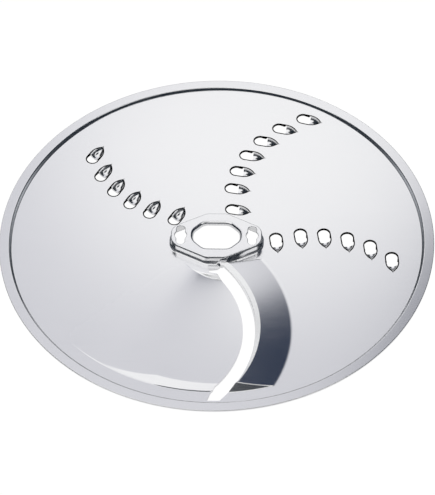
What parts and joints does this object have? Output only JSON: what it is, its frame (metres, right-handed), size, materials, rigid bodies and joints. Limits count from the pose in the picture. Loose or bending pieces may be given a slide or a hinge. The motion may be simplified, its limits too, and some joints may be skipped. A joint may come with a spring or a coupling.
{
  "type": "food processor slicing and grating disc",
  "caption": "Round stamped stainless steel disc with a raised slicing blade and slot, curved arms of pressed grating teeth, and a raised hub with a drive hole.",
  "frame": {"origin": "on the disc's axis of rotation, at the level of the lowest points of the grating teeth", "axes": "+Z along the axis of rotation, out of the cutting face; +X along the hub's long side"},
  "size_m": [0.18, 0.18, 0.008],
  "materials": {
    "stainless_steel": "semi-polished rolled sheet, with a bright ground bevel along the cutting edge"
  },
  "bodies": {
    "root": {"slicing_grating_disc": "stainless_steel"}
  },
  "joints": []
}
